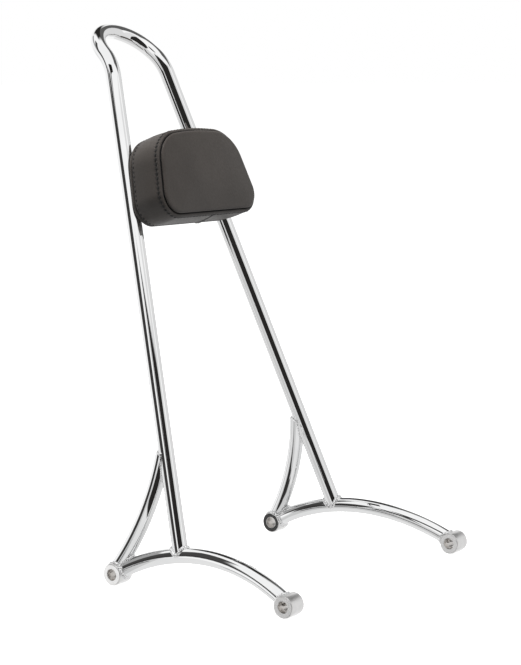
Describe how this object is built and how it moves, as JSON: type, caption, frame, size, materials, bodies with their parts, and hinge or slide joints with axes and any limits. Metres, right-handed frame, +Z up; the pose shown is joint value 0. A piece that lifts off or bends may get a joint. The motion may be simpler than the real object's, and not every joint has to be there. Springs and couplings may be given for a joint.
{
  "type": "sissy bar",
  "caption": "Chromed tube backrest bar for a motorbike: a tall tapering hoop on two arched side arms with braces and bolt bosses, and a small sewn pad.",
  "frame": {"origin": "middle of the rear bolt axis, half way between the two sides", "axes": "+X forward, the way the pad faces, +Y to the left side of the motorbike, +Z up; both bolt axes lie along Y at Z = 0"},
  "size_m": [0.3433, 0.321, 0.5586],
  "materials": {
    "chrome": "polished chrome plate",
    "weld_bead": "chrome plate over an uneven weld bead",
    "cover": "smooth satin black vinyl leather with black thread",
    "foam": "moulded foam",
    "board": "matt black moulded board",
    "zinc": "bright zinc plate"
  },
  "bodies": {
    "root": {"hoop_tube": "chrome", "arm_left": "chrome", "arm_right": "chrome", "brace_left": "chrome", "brace_right": "chrome", "boss_rear_left": "chrome", "boss_rear_right": "chrome", "boss_front_left": "chrome", "boss_front_right": "chrome", "weld_foot_left": "weld_bead", "weld_foot_right": "weld_bead", "weld_brace_left": "weld_bead", "weld_brace_right": "weld_bead", "weld_rear_left": "weld_bead", "weld_rear_right": "weld_bead", "weld_front_left": "weld_bead", "weld_front_right": "weld_bead", "pad_plate": "chrome", "weld_plate_left": "weld_bead", "weld_plate_right": "weld_bead", "pad_cover": "cover", "pad_foam": "foam", "pad_board": "board", "pad_inserts": "zinc", "pad_spacers": "zinc", "pad_screws": "zinc", "pad_washers": "zinc"}
  },
  "joints": []
}
